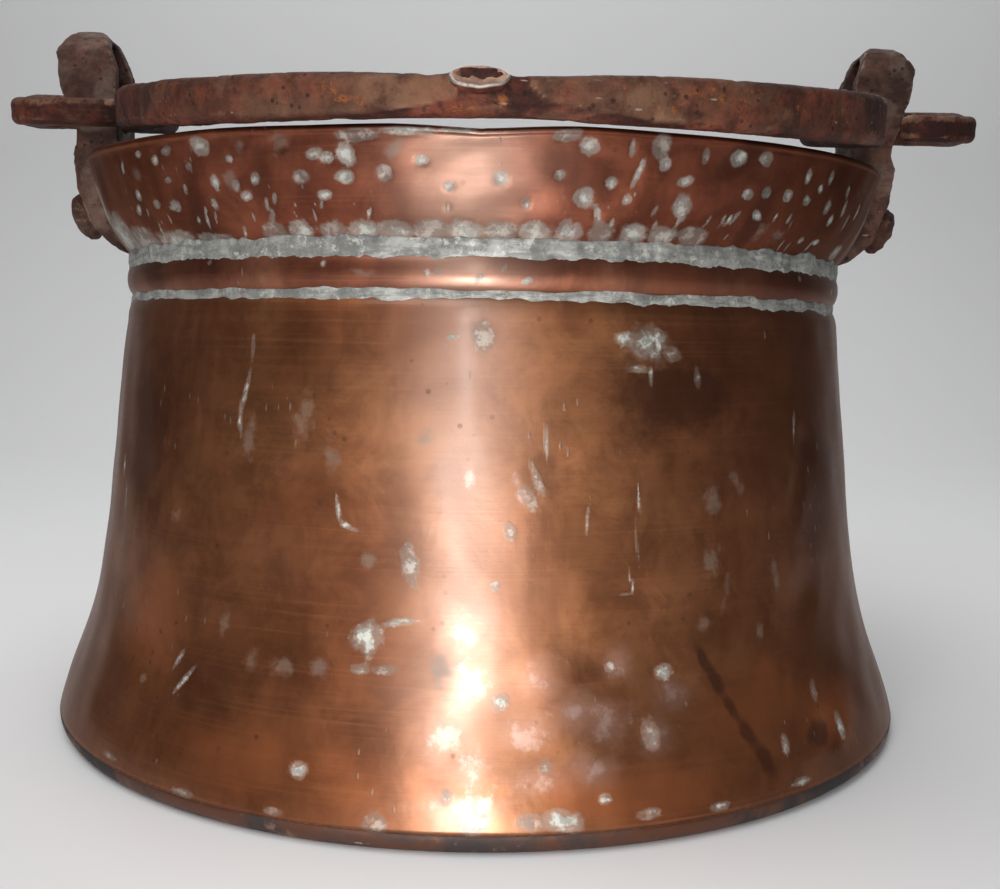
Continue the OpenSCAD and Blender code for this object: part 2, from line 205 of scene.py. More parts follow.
# Oval hammer dents in the collar, which hold grey tin
COLLAR_DENTS = [
    (-13.8, 175.8, 6, 1.7, 0), (-8, 176.6, 8, 1.1, 0), (-3, 176.8, 6, 0.9, 0),
    (-15.3, 171.6, 2.8, 3.2, 10), (-17.6, 170.6, 2, 1.8, 0), (8.5, 176.4, 4.4, 1.6, 10),
    (10.9, 174.3, 3, 2.4, 0), (19.2, 175.4, 3, 3.4, 0), (20, 171.2, 1.8, 2, 0),
    (-15.7, 166.4, 2.9, 1.9, 0), (-11.1, 166.9, 2.2, 2.3, 0), (1.6, 165.9, 2.3, 2, -20),
    (14, 165.9, 2, 1.7, 0), (8, 167.3, 1.5, 1.3, 0), (11.1, 162.2, 3, 2.6, -14),
    (13, 158.6, 1.2, 3.2, 24), (17, 169, 1, 4.4, -20), (23.4, 161.4, 3, 3.6, 20),
    (4.6, 160.4, 1.3, 1.6, 0), (-7, 170, 2, 1.4, 0), (-4, 164, 1.6, 1.3, 0), (-34.5, 175.4, 3.6, 2.8, 0),
    (-46.5, 176, 2, 1.2, 0), (-40.5, 175.6, 2.5, 1.4, 10), (-43, 173.6, 1.9, 1.6, 0),
    (-51.8, 173.4, 1.4, 2.1, 0), (-37, 170.8, 1.7, 1.2, 0), (-33.2, 166.4, 1.9, 2.3, 20),
    (-30.2, 165.2, 1.5, 1.7, 0), (-29, 162.6, 2.4, 1.4, 10), (-27.2, 166.6, 2, 1.7, 0),
    (-21.2, 166.6, 2.7, 1.9, 10), (-18.5, 162.2, 2.4, 1.4, 0), (-19, 171.8, 2.6, 1.6, 15),
    (-41.5, 168.2, 1.8, 1, 0), (-49.8, 165.6, 1.8, 1.5, 0), (-45.8, 162.6, 2.4, 1.5, 0),
    (-51.5, 161.9, 2.3, 1.3, 20), (-42, 161.6, 3, 1.8, 10), (-34.5, 161.1, 1.6, 1.7, 0),
    (-29, 157.8, 0.6, 1.8, -6), (-26, 158.3, 0.6, 1.8, -6), (-20.5, 157.4, 0.6, 2, 6),
    (-44.5, 158.6, 0.8, 1.6, 0), (-38.8, 165.4, 1, 1.7, 0), (-30.2, 171.8, 1.5, 1.1, 0),
    (15.8, 174.2, 1, 2.4, 0), (25, 173.8, 1.4, 2.2, 0), (29.5, 174.3, 2.8, 2.2, 0),
    (33.5, 174.8, 2.8, 2, 0), (23, 167.5, 2.5, 1.4, 15), (32.2, 165.9, 2.2, 1.7, 0),
    (35.2, 167, 2, 1.7, 0), (39.2, 166.8, 2.5, 1.8, 0), (43.5, 166.4, 2.3, 1.5, 0),
    (16.2, 162.1, 1.6, 1.6, 0), (35, 160.9, 2.6, 1.5, -20), (27.8, 158.6, 0.6, 2, -25),
    (30.8, 159.2, 0.6, 2, -25), (49.2, 165.7, 2.2, 2.5, -15), (54.5, 166.3, 1.5, 2.9, -15),
    (51.8, 162.8, 1.5, 2.2, -20), (46.8, 156.2, 2.1, 1, 0), (51.2, 156.4, 2.3, 1, 0),
    (38.5, 160.9, 0.7, 1.8, -25), (41.5, 161.4, 0.8, 1.8, -25), (42.2, 172.4, 1.5, 2.1, -10),
    (47.5, 173.4, 1.3, 2.2, -15), (53.8, 170.8, 1.1, 2.5, -15), (45.8, 169.9, 1.6, 1.5, -10),
    (58, 163, 1.2, 3, -14), (61, 167, 1.1, 3, -12),
]
# Two marks with a pale raised ring
COLLAR_RINGS = [(-28.4, 174.8, 3, 2.6, 0), (-22.8, 174.6, 4.2, 3.2, 0)]
# Small slanting nicks, the row of dabs above the tin band, and tin spread by the ears
COLLAR_NICKS = scatter(11, 30, (-52, 52), (153.5, 162), (0.5, 0.8), (1.4, 2.6), (-34, -8))
COLLAR_SCALLOPS = [(a, 154.4 + 0.5 * math.sin(a * 3.1), 5.3 + 0.8 * math.sin(a * 1.7), 2.7, 0)
                   for a in np.arange(-27, 27, 4.1)]
COLLAR_PATCH = [(-64, 156, 14, 8, 0), (-56, 153.5, 14, 5, 0), (-46, 152.6, 12, 3.2, 0), (-70, 164, 7, 12, 10),
                (-38, 152.4, 9, 2.2, 0), (-74, 170, 4, 8, -10), (62, 155, 6, 2.6, 0), (70, 164, 2.6, 9, 10)]
# The back isn't in the photograph, so its marks are random
BACK = (78, 282)
COLLAR_BACK = (scatter(12, 34, BACK, (156, 176), (1.4, 3), (1.2, 2.6), (-30, 30))
               + scatter(13, 40, BACK, (153, 164), (0.5, 0.8), (1.6, 3.2), (-38, -8)))
WALL_BACK = (scatter(14, 26, BACK, (8, 128), (0.9, 3.2), (1.2, 4.6), (-25, 25))
             + scatter(15, 12, BACK, (12, 124), (0.6, 0.9), (4, 9), (-30, 30)))
WALL_HAZE_BACK = scatter(16, 16, BACK, (12, 124), (2.6, 5), (3, 8), (-20, 20))
WALL_BARE_BACK = scatter(17, 10, (120, 240), (12, 60), (5, 10), (4, 9), (-20, 20))
WALL_DINGS = scatter(18, 18, (0, 360), (16, 124), (7, 15), (6, 12))


# ---------------------------------------------------------------- meshes


def make_mesh(name, points, faces, body, materials):
    """A piece from points in millimetres, kept inside the CAD model's box."""
    points = np.clip(points, CAD_BOX[0], CAD_BOX[1])
    mesh = bpy.data.meshes.new(name)
    mesh.from_pydata((points * MM).tolist(), [], faces)
    mesh.update()
    mesh.shade_smooth()
    piece = bpy.data.objects.new(name, mesh)
    bpy.context.scene.collection.objects.link(piece)
    for material in materials:
        mesh.materials.append(material)
    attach(piece, body)
    return piece


def attribute(piece, name, values):
    found = piece.data.attributes.new(name, "FLOAT", "POINT")
    found.data.foreach_set("value", np.asarray(values, np.float32))


def hammered(turn, z):
    """How far the sheet is pushed out by the maker's hammer and by later knocks."""
    a = np.radians(turn)
    at = np.stack([140 * np.cos(a), 140 * np.sin(a), z], -1)
    push = 0.10 * waves(at, 24, 1) + 0.16 * waves(at, 70, 2)
    push -= 0.55 * smooth(0, 1, marks_at(turn, z, WALL_DINGS))
    return push


def rim_lift(turn, z):
    """The rim has sagged in front of the crown of the bail and climbs towards the ears."""
    side = np.where(turn < 0, 1.0, 0.75)
    level = np.interp(90 - abs(abs(turn) - 90), [0, 10, 20, 30, 40, 50, 62, 75, 90],
                      [-0.6, 0.15, 0.25, 0.8, 1.2, 1.9, 3.0, 4.3, 4.6])
    sag = -0.7 * np.exp(-((turn / 6.5) ** 2))
    wander = 0.12 * np.sin(np.radians(turn * 9 + 40))
    behind = smooth(95, 130, abs(turn)) * 0.4 * np.sin(np.radians(turn * 5))
    return (level * side + sag + wander + behind) * smooth(156, 177, z)


def turned(name, outline, body, materials, inner_from, segments=SEGMENTS, closed=True, push=None):
    """A sheet piece turned about Z. The outline runs round its section; from inner_from on it is
    the inside, which takes the second material. An open outline starts and ends on the axis."""
    rows = len(outline)
    turn = np.arange(segments) * 360 / segments - 180
    turns, radius = np.meshgrid(turn, outline[:, 0])
    z = np.repeat(outline[:, 1][:, None], segments, 1)
    turns, radius, z = turns.ravel(), radius.ravel(), z.ravel()
    if push is not None:
        radius = radius + push(turns, z)
    z = z + rim_lift(turns, z)
    a = np.radians(turns)
    points = np.stack([radius * np.sin(a), -radius * np.cos(a), z], -1)
    faces, kinds = [], []
    for j in range(rows if closed else rows - 1):
        k = (j + 1) % rows
        kind = 1 if inner_from <= j < rows - 1 or (not closed and j >= inner_from) else 0
        for i in range(segments):
            n = (i + 1) % segments
            faces.append((j * segments + i, j * segments + n, k * segments + n, k * segments + i))
            kinds.append(kind)
    if not closed:
        centre = len(points)
        points = np.concatenate([points, [[0, 0, outline[0, 1]], [0, 0, outline[-1, 1]]]])
        turns, z = np.append(turns, [0, 0]), np.append(z, [outline[0, 1], outline[-1, 1]])
        for i in range(segments):
            n = (i + 1) % segments
            last = (rows - 1) * segments
            faces += [(centre, n, i), (centre + 1, last + i, last + n)]
            kinds += [0, 1]
    piece = make_mesh(name, points, faces, body, materials)
    piece.data.polygons.foreach_set("material_index", kinds)
    piece.data.update()
    return piece, turns, z


def tin_band(name, node, low, high, material, seed, bulge, segments=1200, across=12):
    """A band of tin run into a groove: low and high give its edges, as profile points."""
    turn = np.arange(segments) * 360 / segments - 180
    a = np.radians(turn)
    round_pot = np.stack([125 * np.cos(a), 125 * np.sin(a)], -1)
    bottom, top = low(round_pot), high(round_pot)
    rows = []
    for t in np.linspace(0, 1, across):
        along = bottom * (1 - t) + top * t
        at = np.concatenate([round_pot, np.full((segments, 1), 30 * t)], 1)
        out = bulge * 4 * t * (1 - t) * (1 + 0.35 * waves(at, 9, seed)) + 0.05 * waves(at, 3.4, seed + 1)
        rows.append(along + np.stack([out, np.zeros(segments)], -1))
    for r, z in ((top.mean(0) - [1.1, 0]), (bottom.mean(0) - [1.1, 0])):
        rows.append(np.stack([np.full(segments, r), np.full(segments, z)], -1))
    grid = np.array(rows)
    radius, z = grid[:, :, 0], grid[:, :, 1]
    points = np.stack([radius * np.sin(a), -radius * np.cos(a), z], -1).reshape(-1, 3)
    faces = [(j * segments + i, j * segments + (i + 1) % segments,
              (j + 1) % len(rows) * segments + (i + 1) % segments, (j + 1) % len(rows) * segments + i)
             for j in range(len(rows)) for i in range(segments)]
    piece = make_mesh(name, points, faces, "kettle", [material])
    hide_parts(node)
    return piece


def vertex_array(mesh):
    found = np.zeros(len(mesh.vertices) * 3)
    mesh.vertices.foreach_get("co", found)
    return found.reshape(-1, 3) / MM


def vertex_normals(mesh):
    found = np.zeros(len(mesh.vertices) * 3, np.float32)
    mesh.vertex_normals.foreach_get("vector", found)
    return found.reshape(-1, 3).astype(float)


def convexity(mesh, points, normals, rounds=3):
    """How far each point stands above the mean of its neighbours, smoothed over a few rings."""
    edges = np.zeros(len(mesh.edges) * 2, np.int64)
    mesh.edges.foreach_get("vertices", edges)
    a, b = edges.reshape(-1, 2).T
    count = np.bincount(np.concatenate([a, b]), minlength=len(points)).astype(float)[:, None]
    mean = points.copy()
    for _ in range(rounds):
        total = np.zeros_like(mean)
        np.add.at(total, a, mean[b])
        np.add.at(total, b, mean[a])
        mean = total / count
    return ((points - mean) * normals).sum(1)


def forged(name, node, body, materials, voxel, soften, dent):
    """An iron piece: the CAD node remeshed, softened, then pushed in by dent(points, normals)."""
    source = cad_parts[node].data
    work = bmesh.new()
    work.from_mesh(source)
    bmesh.ops.remove_doubles(work, verts=work.verts, dist=1e-6)
    mesh = bpy.data.meshes.new(name)
    work.to_mesh(mesh)
    work.free()
    mesh.materials.clear()
    piece = bpy.data.objects.new(name, mesh)
    bpy.context.scene.collection.objects.link(piece)
    remesh = piece.modifiers.new("remesh", "REMESH")
    remesh.mode = "VOXEL"
    remesh.voxel_size = voxel * MM
    relax = piece.modifiers.new("relax", "SMOOTH")
    relax.factor = 0.5
    relax.iterations = soften
    done = bpy.data.meshes.new_from_object(piece.evaluated_get(bpy.context.evaluated_depsgraph_get()))
    piece.modifiers.clear()
    piece.data = done
    done.shade_smooth()
    for material in materials:
        done.materials.append(material)
    points, normals = vertex_array(done), vertex_normals(done)
    points = points - normals * dent(points, normals)[:, None]
    points = np.clip(points, CAD_BOX[0], CAD_BOX[1])
    done.vertices.foreach_set("co", (points * MM).ravel())
    done.update()
    normals = vertex_normals(done)
    edge = convexity(done, points, normals)
    underside_shade = 1.7 * smooth(0.3, 0.95, -normals[:, 2])     # painted shade: the undersides darker
    # The edge attribute holds the convexity, less the painted underside shade.
    attribute(piece, "edge", edge / (np.std(edge) + 1e-6) * 0.5 - underside_shade)
    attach(piece, body)
    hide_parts(node)
    return piece


# ---------------------------------------------------------------- materials


class Paint:
    """A material's node tree, with short calls for the nodes that the finishes share."""

    def __init__(self, name):
        self.material = bpy.data.materials.new(name)
        self.material.use_nodes = True
        self.tree = self.material.node_tree
        self.shader = self.tree.nodes["Principled BSDF"]
        self.place = self.add("ShaderNodeTexCoord").outputs["Object"]

    def add(self, kind, **settings):
        node = self.tree.nodes.new(kind)
        for key, value in settings.items():
            setattr(node, key, value)
        return node

    def put(self, socket, value):
        if isinstance(value, bpy.types.NodeSocket):
            self.tree.links.new(value, socket)
        elif isinstance(value, (tuple, list)) and len(value) == 3 and socket.type == "RGBA":
            socket.default_value = (*value, 1)
        else:
            socket.default_value = value

    def math(self, operation, a, b=0.0, clamp=False):
        node = self.add("ShaderNodeMath", operation=operation, use_clamp=clamp)
        self.put(node.inputs[0], a)
        self.put(node.inputs[1], b)
        return node.outputs[0]

    def attribute(self, name):
        return self.add("ShaderNodeAttribute", attribute_name=name).outputs["Fac"]

    def stretched(self, x, y, z):
        node = self.add("ShaderNodeMapping")
        self.put(node.inputs["Vector"], self.place)
        node.inputs["Scale"].default_value = (x, y, z)
        return node.outputs[0]

    def noise(self, scale, detail=4.0, rough=0.55, place=None, distort=0.0):
        node = self.add("ShaderNodeTexNoise")
        self.put(node.inputs["Vector"], place or self.place)
        node.inputs["Scale"].default_value = scale
        node.inputs["Detail"].default_value = detail
        node.inputs["Roughness"].default_value = rough
        node.inputs["Distortion"].default_value = distort
        return node.outputs["Fac"]

    def cells(self, scale, place=None):
        node = self.add("ShaderNodeTexVoronoi", feature="F1")
        self.put(node.inputs["Vector"], place or self.place)
        node.inputs["Scale"].default_value = scale
        return node.outputs["Distance"]

    def span(self, value, low, high, to_low=0.0, to_high=1.0):
        node = self.add("ShaderNodeMapRange", interpolation_type="SMOOTHSTEP")
        names = ("Value", "From Min", "From Max", "To Min", "To Max")
        for key, given in zip(names, (value, low, high, to_low, to_high)):
            self.put(node.inputs[key], given)
        return node.outputs[0]

    def mix(self, share, a, b):
        node = self.add("ShaderNodeMix", data_type="RGBA", clamp_factor=True)
        self.put(node.inputs["Factor"], share)
        self.put(node.inputs[6], a)
        self.put(node.inputs[7], b)
        return node.outputs[2]

    def blend(self, share, a, b):
        node = self.add("ShaderNodeMix", data_type="FLOAT", clamp_factor=True)
        self.put(node.inputs[0], share)
        self.put(node.inputs[2], a)
        self.put(node.inputs[3], b)
        return node.outputs[0]

    def bump(self, height, strength, distance, after=None):
        node = self.add("ShaderNodeBump")
        node.inputs["Strength"].default_value = strength
        node.inputs["Distance"].default_value = distance * MM
        self.put(node.inputs["Height"], height)
        if after is not None:
            self.put(node.inputs["Normal"], after)
        return node.outputs[0]

    def finish(self, colour, metal, rough, normal, **fixed):
        self.put(self.shader.inputs["Base Color"], colour)
        self.put(self.shader.inputs["Metallic"], metal)
        self.put(self.shader.inputs["Roughness"], rough)
        self.put(self.shader.inputs["Normal"], normal)
        for key, value in fixed.items():
            self.shader.inputs[key.replace("_", " ")].default_value = value
        return self.material


def torn(paint, field, scale, spread, low=0.0, high=0.25):
    """A mark's field cut to a ragged edge."""
    ragged = paint.math("MULTIPLY", paint.math("SUBTRACT", paint.noise(scale, 5, 0.65), 0.5), spread)
    return paint.span(paint.math("ADD", field, ragged), low, high)


def copper(name, brown, warm, dark, pale, film_share, coat, coat_rough):
    """Tarnished sheet copper with marks, painted side shade and a painted highlight strip from the piece's
    attributes.
    """
    p = Paint(name)
    broad = p.span(p.noise(14, 4, 0.6, distort=0.6), 0.36, 0.66)
    middle = p.span(p.noise(65, 6, 0.66, distort=0.4), 0.36, 0.66)
    fine = p.noise(420, 4, 0.6)
    brushed = p.noise(14, 3, 0.7, p.stretched(1, 1, 90))
    runs = p.noise(60, 4, 0.6, p.stretched(1, 1, 0.12))
    colour = p.mix(broad, brown, warm)
    colour = p.mix(p.math("MULTIPLY", middle, 0.50), colour, dark)
    colour = p.mix(p.math("MULTIPLY", p.span(runs, 0.50, 0.70), 0.38), colour, dark)
    colour = p.mix(p.math("MULTIPLY", p.span(brushed, 0.5, 0.8), 0.30), colour, warm)
    # Painted shade: the sides darkened by the shade attribute.
    colour = p.mix(p.math("MULTIPLY", p.attribute("shade"), 0.72), colour, dark)
    orange = torn(p, p.attribute("orange"), 40, 1.3, 0.0, 0.9)
    colour = p.mix(p.math("MULTIPLY", orange, 0.68), colour, (0.42, 0.135, 0.050))
    # The dark attribute: stains, and on the wall also painted shade at the sides.
    stain = torn(p, p.attribute("dark"), 90, 1.8, -0.1, 0.6)
    colour = p.mix(p.math("MULTIPLY", stain, 0.70), colour, (0.075, 0.026, 0.016))
    # Painted highlight: the front strip turned paler and pinker.
    colour = p.mix(p.attribute("painted_highlight"), colour, p.mix(broad, (0.26, 0.165, 0.125), (0.36, 0.235, 0.185)))
    bare = torn(p, p.attribute("bare"), 60, 2.2, -0.20, 0.95)
    scraped = torn(p, p.attribute("bare"), 170, 3.6, 0.45, 1.20)
    colour = p.mix(p.math("MULTIPLY", bare, 0.48), colour, (0.47, 0.26, 0.195))
    colour = p.mix(p.math("MULTIPLY", scraped, 0.42), colour, (0.66, 0.50, 0.44))
    speck = p.math("MULTIPLY", p.span(p.cells(190), 0.17, 0.09), p.span(p.noise(34, 3, 0.6), 0.50, 0.62))
    colour = p.mix(p.math("MULTIPLY", speck, 0.5), colour, (0.085, 0.045, 0.028))
    dashes = p.span(p.cells(1, p.stretched(430, 430, 105)), 0.17, 0.09)
    dashes = p.math("MULTIPLY", dashes, p.span(p.noise(30, 3, 0.6), 0.55, 0.63))
    haze = torn(p, p.attribute("haze"), 260, 2.6, 0.0, 0.9)
    colour = p.mix(p.math("MULTIPLY", haze, 0.42), colour, (0.17, 0.175, 0.155))
    age = p.attribute("age")
    tin_field = p.attribute("tin")
    ragged = torn(p, tin_field, 340, 2.4, 0.10, 0.75)
    film = p.math("MULTIPLY", torn(p, tin_field, 240, 1.3, -0.05, 0.28), film_share)
    grey = p.math("MULTIPLY", ragged, p.span(age, 0.0, 0.7, 0.45, 0.92))
    grey = p.math("MAXIMUM", p.math("MAXIMUM", grey, film), p.math("MULTIPLY", dashes, 0.65))
    middle_grey = p.mix(age, (0.15, 0.155, 0.140), (0.30, 0.305, 0.275))
    crusty = p.span(p.math("ADD", p.noise(330, 4, 0.7), p.math("MULTIPLY", tin_field, 0.18)), 0.54, 0.70)
    colour = p.mix(grey, colour, p.mix(p.math("MULTIPLY", crusty, 0.85), middle_grey, pale))
    covered = p.math("MAXIMUM", grey, p.math("MULTIPLY", haze, 0.42))
    metal = p.blend(covered, 1.0, 0.25)
    rough = p.span(p.noise(34, 4, 0.6), 0.3, 0.7, 0.36, 0.47)
    rough = p.math("ADD", rough, p.math("MULTIPLY", brushed, 0.10))
    rough = p.blend(p.math("MULTIPLY", bare, 0.5), rough, 0.44)
    rough = p.blend(stain, rough, 0.50)
    rough = p.blend(covered, rough, 0.60)
    normal = p.bump(brushed, 0.12, 0.25)
    normal = p.bump(fine, 0.14, 0.12, normal)
    normal = p.bump(middle, 0.10, 0.30, normal)
    normal = p.bump(grey, 0.30, 0.20, normal)
    p.put(p.shader.inputs["Coat Normal"], p.bump(brushed, 0.10, 0.20, p.bump(fine, 0.10, 0.10)))
    return p.finish(colour, metal, rough, normal, Coat_Weight=coat, Coat_Roughness=coat_rough,
                    Specular_Tint=(0.62, 0.50, 0.44, 1))


def lining():
    """Wiped tin inside the pot, stained and worn through to the copper in places."""
    p = Paint("tin_lining")
    broad = p.span(p.noise(13, 5, 0.62, distort=0.8), 0.35, 0.68)
    wiped = p.noise(22, 4, 0.6, p.stretched(1, 1, 7), distort=0.5)
    colour = p.mix(broad, (0.34, 0.33, 0.31), (0.52, 0.51, 0.48))
    colour = p.mix(p.math("MULTIPLY", p.span(wiped, 0.42, 0.7), 0.5), colour, (0.24, 0.22, 0.20))
    worn = p.span(p.noise(26, 6, 0.7), 0.57, 0.63)
    colour = p.mix(p.math("MULTIPLY", worn, 0.75), colour, (0.30, 0.15, 0.085))
    spots = p.math("MULTIPLY", p.span(p.cells(95), 0.2, 0.12), p.span(p.noise(30), 0.5, 0.62))
    colour = p.mix(p.math("MULTIPLY", spots, 0.7), colour, (0.10, 0.075, 0.06))
    rough = p.math("ADD", p.span(wiped, 0.3, 0.7, 0.38, 0.52), p.math("MULTIPLY", worn, 0.1))
    normal = p.bump(wiped, 0.2, 0.4)
    normal = p.bump(p.noise(300, 4), 0.15, 0.2, normal)
    return p.finish(colour, p.blend(spots, 0.85, 0.2), rough, normal)


def scorched():
    """The fire-blackened underside."""
    p = Paint("scorched_copper")
    soot = p.span(p.noise(24, 6, 0.65, distort=0.7), 0.40, 0.62)
    colour = p.mix(soot, (0.14, 0.058, 0.034), (0.03, 0.022, 0.022))
    flakes = p.span(p.noise(120, 5, 0.7), 0.58, 0.66)
    colour = p.mix(p.math("MULTIPLY", flakes, 0.6), colour, (0.23, 0.13, 0.085))
    normal = p.bump(p.noise(200, 5, 0.7), 0.4, 0.4)
    return p.finish(colour, p.blend(soot, 0.8, 0.25), p.blend(soot, 0.45, 0.75), normal)


def tin(name, light, deep, stain, amount):
    """Dull solder tin, wiped along the groove and stained."""
    p = Paint(name)
    patch = p.span(p.noise(110, 6, 0.75), 0.38, 0.60)
    colour = p.mix(patch, deep, light)
    wiped = p.noise(190, 5, 0.7, p.stretched(0.5, 0.5, 3))
    colour = p.mix(p.math("MULTIPLY", p.span(wiped, 0.48, 0.60), 0.6), colour, deep)
    stained = p.span(p.noise(95, 6, 0.75, distort=0.5), 0.62 - amount, 0.70 - amount)
    colour = p.mix(p.math("MULTIPLY", stained, 0.7), colour, stain)
    white = p.span(p.noise(260, 6, 0.8), 0.55, 0.63)
    colour = p.mix(p.math("MULTIPLY", white, 0.6), colour, (0.62, 0.62, 0.56))
    normal = p.bump(p.noise(420, 5, 0.75), 0.5, 0.25)
    normal = p.bump(wiped, 0.4, 0.30, normal)
    rough = p.blend(stained, 0.55, 0.7)
    return p.finish(colour, p.blend(patch, 0.2, 0.45), rough, normal)


def iron(name, dark, red, worn, orange, rust_cover, wear):
    """Forged iron with purple-brown rust, orange pits, rubbed edges and painted shade on the undersides."""
    p = Paint(name)
    broad = p.span(p.noise(42, 6, 0.68, distort=0.6), 0.38, 0.62)
    colour = p.mix(broad, dark, red)
    mottle = p.span(p.noise(210, 7, 0.78), 0.44, 0.60)
    colour = p.mix(p.math("MULTIPLY", mottle, 0.75), colour, dark)
    streaks = p.noise(75, 5, 0.7, p.stretched(0.3, 1, 1))
    colour = p.mix(p.math("MULTIPLY", p.span(streaks, 0.52, 0.72), 0.45), colour, worn)
    uneven = p.math("MULTIPLY", p.math("SUBTRACT", p.noise(190, 5, 0.75), 0.5), 2.4)
    ridge = p.math("ADD", p.attribute("edge"), uneven)
    rubbed = p.math("MAXIMUM", p.span(ridge, 0.9 - wear, 1.6 - wear), p.attribute("flat"))
    rubbed = p.math("MULTIPLY", rubbed, p.span(p.noise(110, 6, 0.7), 0.36, 0.60, 0.25, 1.0))
    colour = p.mix(p.math("MULTIPLY", rubbed, 0.8), colour, worn)
    crust = p.span(p.noise(95, 7, 0.75, distort=0.5), 0.63 - rust_cover, 0.72 - rust_cover)
    colour = p.mix(p.math("MULTIPLY", crust, 0.85), colour, orange)
    pits = p.math("MULTIPLY", p.span(p.cells(330), 0.26, 0.12), p.span(p.noise(80), 0.42, 0.56))
    colour = p.mix(p.math("MULTIPLY", pits, 0.75), colour, (0.016, 0.009, 0.008))
    # Near black where the edge attribute is low: in hollows, and as painted shade on the undersides.
    deep = p.span(ridge, -0.8, -2.0)
    colour = p.mix(p.math("MULTIPLY", deep, 0.6), colour, (0.020, 0.010, 0.009))
    pad = p.attribute("pad")
    colour = p.mix(p.span(pad, 0.0, 0.06), colour, (0.42, 0.38, 0.34))
    rub = p.mix(p.span(p.noise(260, 5, 0.7), 0.4, 0.6), (0.22, 0.125, 0.085), (0.40, 0.24, 0.17))
    hollow = p.math("ADD", pad, p.math("MULTIPLY", p.noise(400, 3), 0.2))
    colour = p.mix(p.span(hollow, 0.26, 0.40), colour, rub)
    scratch = p.span(p.cells(1, p.stretched(90, 300, 420)), 0.14, 0.08)
    scratch = p.math("MULTIPLY", scratch, p.span(p.noise(55, 3), 0.54, 0.60))
    colour = p.mix(p.math("MULTIPLY", scratch, 0.7), colour, (0.36, 0.30, 0.26))
    normal = p.bump(p.noise(1500, 4, 0.7), 0.35, 0.25)
    normal = p.bump(p.noise(300, 7, 0.75), 0.65, 0.6, normal)
    normal = p.bump(crust, 0.3, 0.25, normal)
    normal = p.bump(p.math("SUBTRACT", 1.0, pits), 0.45, 0.4, normal)
    rough = p.blend(rubbed, 0.66, 0.48)
    rough = p.blend(p.span(pad, 0.0, 0.06), rough, 0.33)
    metal = p.math("MAXIMUM", p.math("MULTIPLY", rubbed, 0.4), p.span(pad, 0.0, 0.06, 0.0, 0.85))
    return p.finish(colour, metal, rough, normal, Specular_IOR_Level=0.16)


# ---------------------------------------------------------------- copper pieces


def sheet_outline(outer):
    """A closed section: the outer line upwards, then the same line moved in, downwards."""
    inner = outer[::-1] - [SHEET, 0]
    return np.concatenate([outer, inner]), len(outer) - 1


def copper_marks(piece, turns, z, outer, tin_marks, haze, bare, orange, dark):
    """Writes the marks of a copper piece, with painted shade on its sides and a painted highlight strip down
    its front; its inside has none.
    """
    # Painted shade: the sides darker, the right more than the left, none in front or behind.
    shade = np.interp(turns, [-150, -110, -60, -26, 24, 50, 110, 150], [0, 0.8, 0.8, 0, 0, 1.2, 1.0, 0])
    attribute(piece, "shade", np.where(outer, shade, 0))
    # Painted highlight: a paler, pinker strip down the front, where the key light's highlight falls, weaker
    # towards the bottom.
    painted_highlight = 0.75 * np.exp(-(((turns + 2.5) / 7.5) ** 2)) * (0.35 + 0.65 * smooth(12, 40, z))
    attribute(piece, "painted_highlight", np.where(outer, painted_highlight, 0))
    ages = np.zeros(len(turns))
    attribute(piece, "tin", np.where(outer, marks_at(turns, z, tin_marks, ages), NO_MARK))
    attribute(piece, "age", ages)
    for name, marks in (("haze", haze), ("bare", bare), ("orange", orange), ("dark", dark)):
        attribute(piece, name, np.where(outer, marks_at(turns, z, marks), NO_MARK))


def outside(turns, rows_outer):
    """True for the points of the outer rows."""
    flags = np.zeros(len(turns), bool)
    flags[: rows_outer * SEGMENTS] = True
    return flags


def build_wall(material, inner):
    low = line(lambda z: (bell_r(z), z), SEAM_Z - 0.6, SHOULDER_Z, 104)
    outer = np.concatenate([low, line(shoulder, 6, 96, 14)])
    outline, inner_from = sheet_outline(outer)

    def push(turn, z):
        return hammered(turn, z) * smooth(5, 16, z) * smooth(138, 128, z)

    piece, turns, z = turned("body_wall_skin", outline, "kettle", [material, inner],
                             inner_from, push=push)
    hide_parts("body_wall")
    copper_marks(piece, turns, z, outside(turns, len(outer)), tin_marks=WALL_TIN + WALL_BACK,
                 haze=WALL_HAZE + WALL_HAZE_BACK, bare=WALL_BARE + WALL_BARE_BACK,
                 orange=WALL_ORANGE, dark=WALL_DARK)


def build_neck(material, inner):
    outer = line(bead, -96, 96, 30)
    outline, inner_from = sheet_outline(outer)
    piece, turns, z = turned("neck_ring_skin", outline, "kettle", [material, inner],
                             inner_from)
    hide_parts("neck_ring")
    copper_marks(piece, turns, z, outside(turns, len(outer)),
                 tin_marks=scatter(21, 26, (0, 360), (140, 148), (0.8, 2), (0.6, 1.4)),
                 haze=scatter(22, 14, (0, 360), (140, 148), (3, 6), (1, 2)), bare=[], orange=[],
                 dark=scatter(23, 10, (0, 360), (141, 147), (8, 20), (2, 4), (-4, 4)))


def collar_dents(turn, z):
    marks = COLLAR_DENTS + COLLAR_SCALLOPS + COLLAR_NICKS + COLLAR_BACK
    a = np.radians(turn)
    at = np.stack([125 * np.cos(a), 125 * np.sin(a), z], -1)
    push = -0.40 * smooth(-0.1, 0.9, marks_at(turn, z, marks))
    rings = marks_at(turn, z, COLLAR_RINGS)
    push = push - 0.3 * smooth(0, 0.5, rings) + 0.25 * smooth(0.55, 0.9, rings)
    push = push + 0.12 * waves(at, 13, 5) + 0.12 * waves(at, 45, 6)
    return (push - 0.1) * smooth(151, 155, z) * smooth(177.6, 175.4, z)


